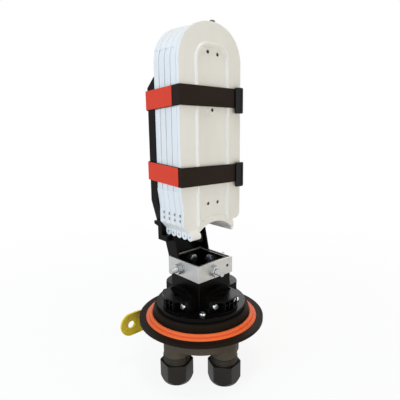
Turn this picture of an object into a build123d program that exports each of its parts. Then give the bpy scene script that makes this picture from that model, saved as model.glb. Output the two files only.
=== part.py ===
from build123d import *
import os

# Opened dome splice closure: port base, riser tower, mast, hinged splice trays and straps.
# Millimetres, +Z up. The origin is on the closure's axis at the gland nuts' lower ends.

# Shared clearances
seat_gap = 0.3
hole_clearance = 0.1
cut_overrun = 5.0

# Base: flange, groove, spigot, bowl
flange_radius = 90.0
flange_thickness = 5.0
groove_inner_radius = 69.9
groove_width = 10.7
groove_depth = 2.0
seat_height = 6.6
spigot_radius = 69.3
spigot_height = 15.0
spigot_land = 5.4
spigot_taper = 1.6
spigot_wall = 9.3
bowl_radius = 60.5
bowl_wall = 4.0
bowl_depth = 33.0
bowl_root = 7.0

# Cable ports under the bowl
port_distance = 47.5
port_radius = 18.0
port_bore_radius = 13.5
port_neck_length = 22.0
port_in_nut = 19.0

# Gland nuts, thrust rings and rubber seals
nut_height = 29.0
nut_flats = 41.6
nut_corner_radius = 23.3
nut_thread_clearance = 0.3
nut_lip = 4.0
nut_mouth_radius = 12.2
nut_nose_radius = 19.8
nut_nose_height = 6.0
thrust_ring_thickness = 2.0
thrust_ring_bore_radius = 10.6
seal_bore_radius = 9.5
seal_collar_length = 3.1
seal_nose_length = 12.0
seal_nose_taper = 1.8

# Sealing ring
ring_crest = 4.2
ring_outer_crest = 2.2
ring_valley = 1.4

# Riser tower on its round foot
foot_radius = 64.0
foot_thickness = 7.0
tower_half = 30.0
tower_wall = 5.0
tower_height = 63.5
tower_corner_round = 1.2

# Foot screws and their bosses in the bowl
foot_screw_x = 32.5
foot_screw_y = 39.5
foot_boss_radius = 5.5
screw_head_radius = 4.8
screw_head_height = 3.4
screw_head_taper = 22
screw_shank_radius = 2.4
foot_screw_length = 18.0

# Earth angles round the tower's head
angle_thickness = 2.2
angle_height = 23.3
angle_rise = 1.2
angle_short_side = 29.7
angle_hole_radius = 2.25
angle_hole_side = 22.3

# Hexagon bolts, washers and nuts
bolt_radius = 4.0
bolt_hole_radius = 4.2
bolt_reach = 18.5
bolt_head_flats = 13.0
bolt_head_height = 5.3
bolt_drop = 10.0
bolt_side_front = -6.0
bolt_side_left = 4.5
washer_radius = 8.2
washer_thickness = 1.6
bolt_nut_height = 6.5

# Cable clamps on the foot, before each tower face
clamp_parting = 43.5
clamp_half_width = 27.0
clamp_height = 19.5
clamp_arch_height = 28.5
clamp_arch_side = 24.0
clamp_arch_depth = 8.0
clamp_bore_radius = 4.5
clamp_face_depth = 3.4
clamp_bow = 61.0
clamp_plate = 2.4
clamp_rib = 1.2
clamp_rib_pitch = 8.0
clamp_rib_inset = 1.5
clamp_rib_half_span = 11.0
clamp_screw_side = 17.0
clamp_screw_height = 9.2
clamp_screw_length = 20.0

# Mast: channel bracket from the tower's rear wall to the back plate
mast_half_width = 30.0
mast_wall = 3.0
mast_foot_depth = 24.5
mast_throat_front = 13.9
mast_knee_rise = 24.0
mast_knee_rear = 43.0
mast_chin_front = 21.3
mast_chin_drop = 2.0
mast_head_front = 29.0
mast_head_rise = 36.0
mast_top_rise = 92.0
mast_pocket_margin = 5.0

# Tray stack
stack_left = -52.0
stack_right = 55.5
stack_front = -24.0
arch_spring_rise = 262.9
arch_shoulder_radius = 47.0
arch_crown_radius = 62.0
cover_depth = 5.0
cover_skin = 2.0
tray_depth = 11.0
tray_pitch = 11.4
tray_count = 4
tray_floor = 1.6
tray_wall = 2.2
stack_foot_rise = 53.4
foot_tab_inner = 38.0
foot_tab_outer = 41.5
foot_tab_drop = 15.9
shoulder_radius = 10.0
mouth_centre_x = 5.4
mouth_radius = 44.6
mouth_apex_rise = 56.4
hip_left = -48.5
hip_foot_rise = 56.9
hip_top_rise = 77.7
side_taper_rise = 103.1
tab_rise = 46.5
cavity_floor_rise = 66.5
cavity_corner = 9.0
rim_band = 7.6
side_panel_depth = 0.8
side_panel_rim = 3.4
side_panel_top_rise = 278.0

# Hinge knuckles, pins and rack
hinge_rise = 42.0
knuckle_radius = 5.2
knuckle_left = -39.5
knuckle_length = 15.0
knuckle_blend_rise = 51.0
pin_radius = 1.6
pin_inset = 0.5
rack_left = -47.0
rack_front = 16.0
rack_front_rise = 36.5
rack_block_front = 27.0
rack_block_rear = 35.3
rack_block_low_rise = 28.7
rack_block_rise = 54.2
rack_shelf_rear = 43.9
rack_shelf_low_rise = 47.5
rack_shelf_rise = 49.8
rack_bridge_left = -40.0
rack_bridge_front = 10.0
rack_bridge_depth = 9.3
rack_rail_width = 5.0
rack_rail_front = -27.0
rack_rail_rear = 25.6
rack_rail_low_rise = 33.5
rack_rail_cap = 2.4
rack_screw_radius = 2.0
rack_screw_length = 12.0
rack_screw_y = 30.0
rack_screw_rise = 31.7

# Tray fittings: clip windows, splice combs, fibre guides
window_height = 4.0
window_width = 3.4
window_depth = 6.0
window_offset = 2.4
window_low_rise = 63.7
window_pitch = 7.2
comb_width = 44.0
comb_length = 52.0
comb_base = 1.6
comb_height = 7.0
comb_rib = 1.8
comb_rib_count = 7
comb_rise = 150.0
guide_radius = 24.0
guide_wall = 1.6
guide_height = 7.5
guide_high_rise = 238.0
guide_low_rise = 95.0

# Cover face: arched double ridge, recessed panel and holes
ridge_left = -25.0
ridge_right = 33.0
ridge_height = 1.5
ridge_width = 4.5
ridge_corner = 20.0
ridge_top_rise = 286.1
ridge_foot_rise = 53.0
panel_inset = 6.0
panel_corner = 14.0
panel_depth = 0.8
cover_hole_radius = 2.3
cover_hole_places = (
    (-3.4, 275.3),
    (13.3, 273.2),
    (3.6, 204.4),
    (-4.9, 81.9),
    (12.5, 81.6),
)

# Cover catch screw on the crown
catch_x = 13.6
catch_radius = 3.4
catch_head = 2.6
catch_boss_rise = 1.0
catch_boss_radius = 4.0
catch_shank_radius = 1.5
catch_shank_length = 5.0

# Back plate
plate_right = 52.0
plate_web = 2.5
plate_depth = 14.7
plate_flange = 2.2
plate_top_front_rise = 246.5
plate_top_rear_rise = 233.5
plate_foot_rise = 54.5
plate_corner_rise = 84.5
plate_corner_inset = 8.0
plate_screw_x = 14.0
plate_screw_drop = 12.0
plate_screw_pitch = 18.0
plate_screw_head_radius = 3.8
plate_screw_head_height = 2.6

# Hook-and-loop straps, tabs and buckles
strap_width = 25.0
strap_thickness = 1.6
strap_rise_upper = 218.6
strap_rise_lower = 121.9
strap_lean_upper_shares = (0.034, 0.083)
strap_lean_lower_shares = (0.026, -0.060)
tab_thickness = 1.4
tab_width = 24.0
tab_front_upper = -13.0
tab_front_lower = -22.0
tab_rear = 41.0
buckle_height = 34.0
buckle_width = 14.0
buckle_thickness = 3.2
buckle_bar = 3.4
buckle_end_bar = 3.2
buckle_round = 2.0
buckle_drop = 2.5
buckle_x_upper = 47.0
buckle_x_lower = 48.5

# Wall bracket behind the bowl
bracket_standoff = 5.0
bracket_thickness = 3.0
bracket_drop = 34.0
bracket_ear_radius = 17.0
bracket_hole_spacing = 158.0
bracket_hole_radius = 5.5
bracket_pad_half_width = 28.0
bracket_screw_pitch = 44.0
bracket_screw_drop = 21.0
bracket_screw_length = 12.0

# Levels and places that follow from the sizes above
flange_top = nut_height + port_neck_length + bowl_depth
flange_bottom = flange_top - flange_thickness
bowl_bottom = flange_top - bowl_depth
groove_floor = flange_top - groove_depth
seat_top = flange_top + seat_height
spigot_top = flange_top + spigot_height
foot_top = spigot_top + foot_thickness
port_end = nut_height - port_in_nut
tower_top = foot_top + tower_height
angle_top = tower_top + angle_rise
bolt_level = tower_top - bolt_drop
clamp_face = clamp_parting + clamp_face_depth
mast_low = tower_top - mast_foot_depth
tower_inside = tower_half - tower_wall
angle_reach = tower_half + angle_thickness
stack_centre = (stack_left + stack_right) / 2
arch_spring = tower_top + arch_spring_rise
shoulder_offset = (stack_right - stack_left) / 2 - arch_shoulder_radius
crown_drop = ((arch_crown_radius - arch_shoulder_radius) ** 2 - shoulder_offset**2) ** 0.5
hinge_level = tower_top + hinge_rise
knuckle_right = knuckle_left + knuckle_length
rail_left = knuckle_right + seat_gap
rail_right = rail_left + rack_rail_width
cover_back = stack_front + cover_depth
tray_front_first = cover_back + tray_pitch - tray_depth
stack_back = tray_front_first + (tray_count - 1) * tray_pitch + tray_depth
plate_front = stack_back + seat_gap
plate_rear = plate_front + plate_depth
plate_web_rear = plate_front + plate_web
ring_inner_radius = groove_inner_radius + seat_gap
ring_outer_radius = groove_inner_radius + groove_width - seat_gap
bracket_front = max(port_distance + port_radius, bowl_radius + bracket_standoff) + seat_gap
quarter_turn = 90
gland_turns = {"left": 21, "front": 8, "right": 15, "rear": 2}
port_turns = {"front": 0, "right": quarter_turn, "rear": 2 * quarter_turn, "left": 3 * quarter_turn}
bolt_sides = {"front": bolt_side_front, "right": bolt_side_left, "rear": bolt_side_front, "left": -bolt_side_left}

os.makedirs("parts", exist_ok=True)


def save(builder, name):
    builder.part.label = name
    export_step(builder.part, f"parts/{name}.step")


def facing_front(y):
    return Plane.XZ.offset(-y)


def wall_plane(turn, side, level, distance):
    outward = Vector(0, -1, 0).rotate(Axis.Z, turn)
    along = Vector(1, 0, 0).rotate(Axis.Z, turn)
    spot = along * side + outward * distance + Vector(0, 0, level)
    return Plane(origin=spot, x_dir=along, z_dir=outward)


def port_spot(turn, distance=port_distance):
    return wall_plane(turn, 0, 0, distance).origin


def pan_screw(seat, length, shank=screw_shank_radius, head=screw_head_radius, rise=screw_head_height):
    with BuildSketch(seat, mode=Mode.PRIVATE) as head_face:
        Circle(head)
    extrude(head_face.sketch, amount=rise, taper=screw_head_taper)
    with BuildSketch(seat, mode=Mode.PRIVATE) as shank_face:
        Circle(shank)
    extrude(shank_face.sketch, amount=-length)


# Base: one moulding with flange, ring groove, spigot, bowl, port roots, screw bosses and bracket pad
with BuildPart() as base:
    with BuildSketch(Plane.XZ):
        with BuildLine():
            Polyline(
                (bowl_radius + bowl_root, flange_bottom),
                (flange_radius, flange_bottom),
                (flange_radius, flange_top),
                (groove_inner_radius + groove_width, flange_top),
                (groove_inner_radius + groove_width, groove_floor),
                (groove_inner_radius, groove_floor),
                (groove_inner_radius, seat_top),
                (spigot_radius, seat_top),
                (spigot_radius, seat_top + spigot_land),
                (spigot_radius - spigot_taper, spigot_top),
                (spigot_radius - spigot_wall, spigot_top),
                (spigot_radius - spigot_wall, flange_bottom),
                (bowl_radius - bowl_wall, flange_bottom - bowl_wall),
                (bowl_radius - bowl_wall, bowl_bottom + bowl_wall),
                (0, bowl_bottom + bowl_wall),
                (0, bowl_bottom),
                (bowl_radius, bowl_bottom),
                (bowl_radius, flange_bottom - bowl_root),
            )
            CenterArc((bowl_radius + bowl_root, flange_bottom - bowl_root), bowl_root, 180, -90)
        make_face()
    revolve(axis=Axis.Z)
    for turn in port_turns.values():
        with BuildSketch(Plane.XY.offset(bowl_bottom)):
            with Locations(port_spot(turn)):
                Circle(port_radius)
        extrude(amount=flange_bottom - bowl_bottom)
    with BuildSketch(Plane.XY.offset(bowl_bottom)):
        with GridLocations(2 * foot_screw_x, 2 * foot_screw_y, 2, 2):
            Circle(foot_boss_radius)
    extrude(amount=spigot_top - bowl_bottom)
    with BuildSketch(Plane.XY.offset(bowl_bottom)):
        with Locations((0, bracket_front)):
            Rectangle(2 * bracket_pad_half_width, port_radius + bowl_wall, align=(Align.CENTER, Align.MAX))
    extrude(amount=bowl_depth - flange_thickness)
    with BuildSketch(Plane.XY.offset(bowl_bottom + bowl_wall)):
        Circle(bowl_radius - bowl_wall)
    extrude(amount=flange_top - bowl_bottom - 2 * bowl_wall, mode=Mode.SUBTRACT)
    with BuildSketch(Plane.XY.offset(bowl_bottom)):
        with GridLocations(2 * foot_screw_x, 2 * foot_screw_y, 2, 2):
            Circle(foot_boss_radius)
    extrude(amount=spigot_top - bowl_bottom)
    for turn in port_turns.values():
        with BuildSketch(Plane.XY.offset(bowl_bottom)):
            with Locations(port_spot(turn)):
                Circle(port_bore_radius)
        extrude(amount=spigot_top - bowl_bottom, mode=Mode.SUBTRACT)
    with BuildSketch(Plane.XY.offset(spigot_top)):
        with GridLocations(2 * foot_screw_x, 2 * foot_screw_y, 2, 2):
            Circle(screw_shank_radius + hole_clearance)
    extrude(amount=foot_thickness - foot_screw_length - hole_clearance, mode=Mode.SUBTRACT)
    with BuildSketch(Plane.XZ.offset(-bracket_front)):
        with Locations((0, flange_top - bracket_screw_drop)):
            with GridLocations(bracket_screw_pitch, 0, 2, 1):
                Circle(screw_shank_radius + hole_clearance)
    extrude(amount=bracket_screw_length, mode=Mode.SUBTRACT)
save(base, "base")

# Cable ports: the tubes under the bowl
for side, turn in port_turns.items():
    with BuildPart() as port:
        with BuildSketch(Plane.XY.offset(port_end)):
            with Locations(port_spot(turn)):
                Circle(port_radius)
                Circle(port_bore_radius, mode=Mode.SUBTRACT)
        extrude(amount=bowl_bottom - port_end)
    save(port, f"port_{side}")

# Sealing ring in the groove, with a high inner crest and a lower outer one
ring_middle = (ring_inner_radius + ring_outer_radius) / 2
ring_quarter = (ring_outer_radius - ring_inner_radius) / 4
with BuildPart() as seal_ring:
    with BuildSketch(Plane.XZ):
        with BuildLine():
            Polyline(
                (ring_middle, flange_top + ring_valley),
                (ring_outer_radius - ring_quarter, flange_top + ring_outer_crest),
                (ring_outer_radius, flange_top),
                (ring_outer_radius, groove_floor),
                (ring_inner_radius, groove_floor),
                (ring_inner_radius, flange_top + ring_crest),
            )
            ThreePointArc(
                (ring_inner_radius, flange_top + ring_crest),
                (ring_inner_radius + ring_quarter, flange_top + ring_crest + ring_valley),
                (ring_middle, flange_top + ring_valley),
            )
        make_face()
    revolve(axis=Axis.Z)
save(seal_ring, "seal_ring")


# Gland at each port: hexagon nut, thrust ring and rubber seal
for side, turn in port_turns.items():
    spot = port_spot(turn)
    with BuildPart() as gland_nut:
        with BuildSketch():
            with Locations(spot):
                RegularPolygon(nut_flats / 2, 6, major_radius=False, rotation=gland_turns[side])
                Circle(nut_corner_radius, mode=Mode.INTERSECT)
        extrude(amount=nut_height)
        with BuildSketch(Plane(origin=spot, x_dir=(1, 0, 0), z_dir=(0, -1, 0))):
            with BuildLine():
                Polyline(
                    (nut_nose_radius, 0),
                    (nut_corner_radius, nut_nose_height),
                    (nut_corner_radius + cut_overrun, nut_nose_height),
                    (nut_corner_radius + cut_overrun, 0),
                    (nut_nose_radius, 0),
                )
            make_face()
        revolve(axis=Axis(spot, (0, 0, 1)), mode=Mode.SUBTRACT)
        with BuildSketch(Plane.XY.offset(nut_lip)):
            with Locations(spot):
                Circle(port_radius + nut_thread_clearance)
        extrude(amount=nut_height, mode=Mode.SUBTRACT)
        with BuildSketch():
            with Locations(spot):
                Circle(nut_mouth_radius)
        extrude(amount=nut_height, mode=Mode.SUBTRACT)
    save(gland_nut, f"gland_nut_{side}")

    thrust_ring_low = nut_lip + seat_gap
    with BuildPart() as thrust_ring:
        with BuildSketch(Plane.XY.offset(thrust_ring_low)):
            with Locations(spot):
                Circle(port_radius - seat_gap)
                Circle(thrust_ring_bore_radius, mode=Mode.SUBTRACT)
        extrude(amount=thrust_ring_thickness)
    save(thrust_ring, f"thrust_ring_{side}")

    seal_low = thrust_ring_low + thrust_ring_thickness
    collar_top = min(seal_low + seal_collar_length, port_end)
    with BuildPart() as gland_seal:
        with BuildSketch(Plane.XY.offset(seal_low)):
            with Locations(spot):
                Circle(port_radius - seat_gap)
        extrude(amount=collar_top - seal_low)
        with BuildSketch(Plane.XY.offset(collar_top)):
            with Locations(spot):
                Circle(port_bore_radius - seat_gap)
        extrude(amount=seal_nose_length, taper=seal_nose_taper)
        with BuildSketch(Plane.XY.offset(seal_low)):
            with Locations(spot):
                Circle(seal_bore_radius)
        extrude(amount=collar_top - seal_low + seal_nose_length, mode=Mode.SUBTRACT)
    save(gland_seal, f"gland_seal_{side}")

# Riser tower: square tube on a round foot, with cable holes over the ports
with BuildPart() as tower_foot:
    with BuildSketch(Plane.XY.offset(spigot_top)):
        Circle(foot_radius)
        for turn in port_turns.values():
            with Locations(port_spot(turn)):
                Circle(port_bore_radius, mode=Mode.SUBTRACT)
        with GridLocations(2 * foot_screw_x, 2 * foot_screw_y, 2, 2):
            Circle(screw_shank_radius + hole_clearance, mode=Mode.SUBTRACT)
    extrude(amount=foot_thickness)
save(tower_foot, "tower_foot")

with BuildPart() as tower:
    with BuildSketch(Plane.XY.offset(foot_top)):
        RectangleRounded(2 * tower_half, 2 * tower_half, tower_corner_round)
        Rectangle(2 * tower_inside, 2 * tower_inside, mode=Mode.SUBTRACT)
    extrude(amount=tower_height)
    for side, turn in port_turns.items():
        with BuildSketch(wall_plane(turn, bolt_sides[side], bolt_level, tower_inside)):
            Circle(bolt_hole_radius)
        extrude(amount=tower_wall, mode=Mode.SUBTRACT)
        with BuildSketch(wall_plane(turn, 0, foot_top + clamp_screw_height, tower_half)):
            with GridLocations(2 * clamp_screw_side, 0, 2, 1):
                Circle(screw_shank_radius + hole_clearance)
        extrude(amount=clamp_face - clamp_screw_length - tower_half - hole_clearance, mode=Mode.SUBTRACT)
save(tower, "tower")

with BuildPart() as foot_screws:
    for x in (-foot_screw_x, foot_screw_x):
        for y in (-foot_screw_y, foot_screw_y):
            pan_screw(Plane((x, y, foot_top)), foot_screw_length)
save(foot_screws, "foot_screws")

# Earth angles: bent strips round two opposite corners of the tower's head
with BuildPart() as earth_angle_front:
    with BuildSketch(Plane.XY.offset(angle_top - angle_height)):
        with Locations((-angle_reach, -angle_reach)):
            Rectangle(2 * angle_reach - hole_clearance, angle_thickness, align=Align.MIN)
            Rectangle(angle_thickness, 2 * angle_reach - hole_clearance, align=Align.MIN)
    extrude(amount=angle_height)
    with BuildSketch(wall_plane(port_turns["front"], 0, bolt_level, tower_half)):
        with Locations((bolt_sides["front"], 0)):
            Circle(bolt_hole_radius)
        with Locations((angle_hole_side, 0)):
            Circle(angle_hole_radius)
    extrude(amount=angle_thickness, mode=Mode.SUBTRACT)
    with BuildSketch(wall_plane(port_turns["left"], bolt_sides["left"], bolt_level, tower_half)):
        Circle(bolt_hole_radius)
    extrude(amount=angle_thickness, mode=Mode.SUBTRACT)
save(earth_angle_front, "earth_angle_front")

with BuildPart() as earth_angle_rear:
    with BuildSketch(Plane.XY.offset(angle_top - angle_height)):
        with Locations((angle_reach, angle_reach)):
            Rectangle(angle_reach + angle_short_side, angle_thickness, align=Align.MAX)
            Rectangle(angle_thickness, angle_reach + angle_short_side, align=Align.MAX)
    extrude(amount=angle_height)
    for side in ("rear", "right"):
        with BuildSketch(wall_plane(port_turns[side], bolt_sides[side], bolt_level, tower_half)):
            Circle(bolt_hole_radius)
        extrude(amount=angle_thickness, mode=Mode.SUBTRACT)
save(earth_angle_rear, "earth_angle_rear")


# Hexagon bolts with their heads inside the tower; the rear nut also clamps the mast's foot
def nut_seat(side):
    if side == "rear":
        return angle_reach + mast_wall
    return angle_reach


with BuildPart() as angle_bolts:
    for side, turn in port_turns.items():
        with BuildSketch(wall_plane(turn, bolt_sides[side], bolt_level, tower_inside)):
            RegularPolygon(bolt_head_flats / 2, 6, major_radius=False)
        extrude(amount=-bolt_head_height)
        with BuildSketch(wall_plane(turn, bolt_sides[side], bolt_level, tower_inside)):
            Circle(bolt_radius)
        extrude(amount=angle_reach - tower_inside + bolt_reach)
save(angle_bolts, "angle_bolts")

with BuildPart() as angle_washers:
    for side, turn in port_turns.items():
        with BuildSketch(wall_plane(turn, bolt_sides[side], bolt_level, nut_seat(side))):
            Circle(washer_radius)
            Circle(bolt_radius + hole_clearance, mode=Mode.SUBTRACT)
        extrude(amount=washer_thickness)
save(angle_washers, "angle_washers")

with BuildPart() as angle_nuts:
    for side, turn in port_turns.items():
        with BuildSketch(wall_plane(turn, bolt_sides[side], bolt_level, nut_seat(side) + washer_thickness)):
            RegularPolygon(bolt_head_flats / 2, 6, major_radius=False)
            Circle(bolt_radius + hole_clearance, mode=Mode.SUBTRACT)
        extrude(amount=bolt_nut_height)
save(angle_nuts, "angle_nuts")

# Cable clamps: an arched inner half on the tower face and a ribbed outer half, parted at the bore
for side, turn in port_turns.items():
    level = wall_plane(turn, 0, foot_top, 0)
    screw_level = wall_plane(turn, 0, foot_top + clamp_screw_height, tower_half)
    plan = Plane(origin=level.origin, x_dir=level.x_dir, z_dir=(0, 0, 1))
    with BuildPart() as clamp_inner:
        with BuildSketch(wall_plane(turn, 0, foot_top, tower_half)):
            with BuildLine():
                Polyline(
                    (-clamp_arch_side, clamp_height),
                    (-clamp_half_width, clamp_height),
                    (-clamp_half_width, 0),
                    (clamp_half_width, 0),
                    (clamp_half_width, clamp_height),
                    (clamp_arch_side, clamp_height),
                )
                ThreePointArc(
                    (clamp_arch_side, clamp_height), (0, clamp_arch_height), (-clamp_arch_side, clamp_height)
                )
            make_face()
        extrude(amount=clamp_arch_depth)
        with BuildSketch(wall_plane(turn, 0, foot_top, tower_half)):
            Rectangle(2 * clamp_half_width, clamp_height, align=(Align.CENTER, Align.MIN))
        extrude(amount=clamp_parting - tower_half - seat_gap / 2)
        with BuildSketch(plan):
            with Locations((0, -clamp_parting)):
                Circle(clamp_bore_radius)
        extrude(amount=clamp_arch_height, mode=Mode.SUBTRACT)
        with BuildSketch(screw_level):
            with GridLocations(2 * clamp_screw_side, 0, 2, 1):
                Circle(screw_shank_radius + hole_clearance)
        extrude(amount=clamp_parting - tower_half, mode=Mode.SUBTRACT)
    save(clamp_inner, f"clamp_inner_{side}")

    with BuildPart() as clamp_outer:
        outer_start = clamp_parting + seat_gap / 2
        with BuildSketch(plan):
            with Locations((0, -outer_start)):
                Rectangle(2 * clamp_half_width, clamp_face - outer_start, align=(Align.CENTER, Align.MAX))
        extrude(amount=clamp_height)
        with BuildSketch(plan, plan.offset(clamp_height - clamp_plate)):
            with BuildLine():
                Line((-clamp_half_width, -clamp_face), (clamp_half_width, -clamp_face))
                ThreePointArc(
                    (clamp_half_width, -clamp_face), (0, -clamp_bow), (-clamp_half_width, -clamp_face)
                )
            make_face()
        extrude(amount=clamp_plate)
        with BuildSketch(plan):
            with Locations((0, -clamp_face)):
                with GridLocations(clamp_rib_pitch, 0, 3, 1):
                    Rectangle(
                        clamp_rib, clamp_bow - clamp_face - 2 * clamp_rib_inset, align=(Align.CENTER, Align.MAX)
                    )
        extrude(amount=clamp_height)
        with BuildSketch(plan.offset((clamp_height - clamp_rib) / 2)):
            with Locations((0, -clamp_face)):
                Rectangle(
                    2 * clamp_rib_half_span,
                    clamp_bow - clamp_face - 2 * clamp_rib_inset - clamp_rib,
                    align=(Align.CENTER, Align.MAX),
                )
        extrude(amount=clamp_rib)
        with BuildSketch(plan):
            with Locations((0, -clamp_parting)):
                Circle(clamp_bore_radius)
        extrude(amount=clamp_height, mode=Mode.SUBTRACT)
        with BuildSketch(screw_level):
            with GridLocations(2 * clamp_screw_side, 0, 2, 1):
                Circle(screw_shank_radius + hole_clearance)
        extrude(amount=clamp_face - tower_half, mode=Mode.SUBTRACT)
    save(clamp_outer, f"clamp_outer_{side}")

with BuildPart() as clamp_screws:
    for turn in port_turns.values():
        for screw_side in (-clamp_screw_side, clamp_screw_side):
            pan_screw(wall_plane(turn, screw_side, foot_top + clamp_screw_height, clamp_face), clamp_screw_length)
save(clamp_screws, "clamp_screws")

# Mast: leaning channel, open to the front below and to the rear at its head, with its foot behind the tower
rim_level = angle_top + seat_gap
head_level = tower_top + mast_head_rise
mast_top = tower_top + mast_top_rise
plate_screw_level = mast_top - plate_screw_drop - plate_screw_pitch / 2
with BuildPart() as mast:
    with BuildSketch(Plane.YZ):
        with BuildLine():
            Polyline(
                (angle_reach, mast_low),
                (angle_reach + mast_wall, mast_low),
                (angle_reach + mast_wall, rim_level),
                (mast_knee_rear, tower_top + mast_knee_rise),
                (mast_knee_rear, mast_top),
                (plate_web_rear, mast_top),
                (plate_web_rear, head_level + mast_pocket_margin),
                (mast_head_front, head_level),
                (mast_chin_front, head_level - mast_chin_drop),
                (mast_throat_front, rim_level),
                (angle_reach, rim_level),
                (angle_reach, mast_low),
            )
        make_face()
    extrude(amount=mast_half_width, both=True)
    with BuildSketch(Plane.YZ):
        with BuildLine():
            Polyline(
                (0, rim_level - cut_overrun),
                (angle_reach, rim_level - cut_overrun),
                (angle_reach, rim_level),
                (mast_knee_rear - mast_wall, tower_top + mast_knee_rise),
                (mast_knee_rear - mast_wall, head_level),
                (0, head_level),
                (0, rim_level - cut_overrun),
            )
        make_face()
    extrude(amount=mast_half_width - mast_wall, both=True, mode=Mode.SUBTRACT)
    with BuildSketch(facing_front(mast_knee_rear)):
        with Locations((0, head_level + mast_wall)):
            Rectangle(
                2 * (mast_half_width - mast_wall),
                mast_top - mast_pocket_margin - head_level - mast_wall,
                align=(Align.CENTER, Align.MIN),
            )
    extrude(amount=mast_knee_rear - plate_web_rear - mast_wall, mode=Mode.SUBTRACT)
    with BuildSketch(wall_plane(port_turns["rear"], bolt_sides["rear"], bolt_level, angle_reach)):
        Circle(bolt_hole_radius)
    extrude(amount=mast_wall, mode=Mode.SUBTRACT)
    with BuildSketch(facing_front(plate_web_rear + mast_wall)):
        with Locations((0, plate_screw_level)):
            with GridLocations(2 * plate_screw_x, plate_screw_pitch, 2, 2):
                Circle(rack_screw_radius + hole_clearance)
    extrude(amount=mast_wall, mode=Mode.SUBTRACT)
    with BuildSketch(Plane.YZ.offset(-mast_half_width)):
        with Locations((rack_screw_y, tower_top + rack_screw_rise)):
            Circle(rack_screw_radius + hole_clearance)
    extrude(amount=mast_wall, mode=Mode.SUBTRACT)
save(mast, "mast")


# Three-centred arch over the stack, drawn from its left spring point to its right one
def arch_curve(inset):
    joint_turn = Vector(shoulder_offset, crown_drop, 0).get_angle(Vector(1, 0, 0))
    half_turn = 2 * quarter_turn
    shoulder = arch_shoulder_radius - inset
    CenterArc((stack_centre - shoulder_offset, arch_spring), shoulder, half_turn, -joint_turn)
    CenterArc(
        (stack_centre, arch_spring - crown_drop),
        arch_crown_radius - inset,
        half_turn - joint_turn,
        2 * joint_turn - half_turn,
    )
    CenterArc((stack_centre + shoulder_offset, arch_spring), shoulder, joint_turn, -joint_turn)


# Outline of a tub's inside, at an inset from the stack's sides and arch
def cavity_outline(inset):
    low = tower_top + cavity_floor_rise
    with BuildSketch(mode=Mode.PRIVATE) as outline:
        with BuildLine():
            arch_curve(inset)
            Polyline(
                (stack_right - inset, arch_spring),
                (stack_right - inset, low),
                (hip_left + inset, low),
                (hip_left + inset, tower_top + hip_top_rise),
                (stack_left + inset, tower_top + side_taper_rise),
                (stack_left + inset, arch_spring),
            )
        make_face()
    return outline.sketch


# Outline of the stack seen from the front, shared by the trays and the cover
def stack_outline():
    foot = tower_top + stack_foot_rise
    apex = tower_top + mouth_apex_rise
    mouth_centre = apex - mouth_radius
    left_end = mouth_centre + (mouth_radius**2 - (knuckle_right - mouth_centre_x) ** 2) ** 0.5
    right_end = mouth_centre + (mouth_radius**2 - (foot_tab_inner - mouth_centre_x) ** 2) ** 0.5
    with BuildSketch(mode=Mode.PRIVATE) as outline:
        with BuildLine():
            Polyline(
                (knuckle_right, left_end),
                (knuckle_left, tower_top + tab_rise),
                (hip_left, tower_top + hip_foot_rise),
                (hip_left, tower_top + hip_top_rise),
                (stack_left, tower_top + side_taper_rise),
                (stack_left, arch_spring),
            )
            arch_curve(0)
            Line((stack_right, arch_spring), (stack_right, foot + shoulder_radius))
            CenterArc((stack_right - shoulder_radius, foot + shoulder_radius), shoulder_radius, 0, -quarter_turn)
            Polyline(
                (stack_right - shoulder_radius, foot),
                (foot_tab_outer, foot),
                (foot_tab_outer, foot - foot_tab_drop),
                (foot_tab_inner, foot - foot_tab_drop),
                (foot_tab_inner, right_end),
            )
            ThreePointArc((foot_tab_inner, right_end), (mouth_centre_x, apex), (knuckle_right, left_end))
        make_face()
    return outline.sketch


# One barrel knuckle under the piece, round the hinge line at depth y
def knuckle(y, front, back):
    with BuildSketch(Plane.YZ.offset(knuckle_left), mode=Mode.PRIVATE) as knuckle_face:
        with Locations((y, hinge_level)):
            Circle(knuckle_radius)
        with BuildLine():
            Polyline(
                (y - knuckle_radius, hinge_level),
                (y + knuckle_radius, hinge_level),
                (back, tower_top + knuckle_blend_rise),
                (front, tower_top + knuckle_blend_rise),
                (y - knuckle_radius, hinge_level),
            )
        make_face()
        with Locations((y, hinge_level)):
            Circle(pin_radius + hole_clearance / 2, mode=Mode.SUBTRACT)
    extrude(knuckle_face.sketch, amount=knuckle_length)


# Two latch windows one above the other in the left wall, near the tray's front edge
def latch_windows(front):
    with BuildSketch(Plane.YZ.offset(hip_left), mode=Mode.PRIVATE) as windows:
        with Locations((front + window_offset, tower_top + window_low_rise + window_pitch / 2)):
            with GridLocations(0, window_pitch, 1, 2):
                Rectangle(window_width, window_height)
    extrude(windows.sketch, amount=window_depth, mode=Mode.SUBTRACT)


# Shallow panel in each side wall, behind the tray's front rim
def side_panels(back):
    low = tower_top + side_taper_rise
    with BuildSketch(facing_front(back), mode=Mode.PRIVATE) as panels:
        with Locations((stack_centre, low)):
            Rectangle(
                stack_right - stack_left + cut_overrun,
                tower_top + side_panel_top_rise - low,
                align=(Align.CENTER, Align.MIN),
            )
        add(cavity_outline(side_panel_depth), mode=Mode.SUBTRACT)
    extrude(panels.sketch, amount=tray_depth - side_panel_rim, mode=Mode.SUBTRACT)


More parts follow.
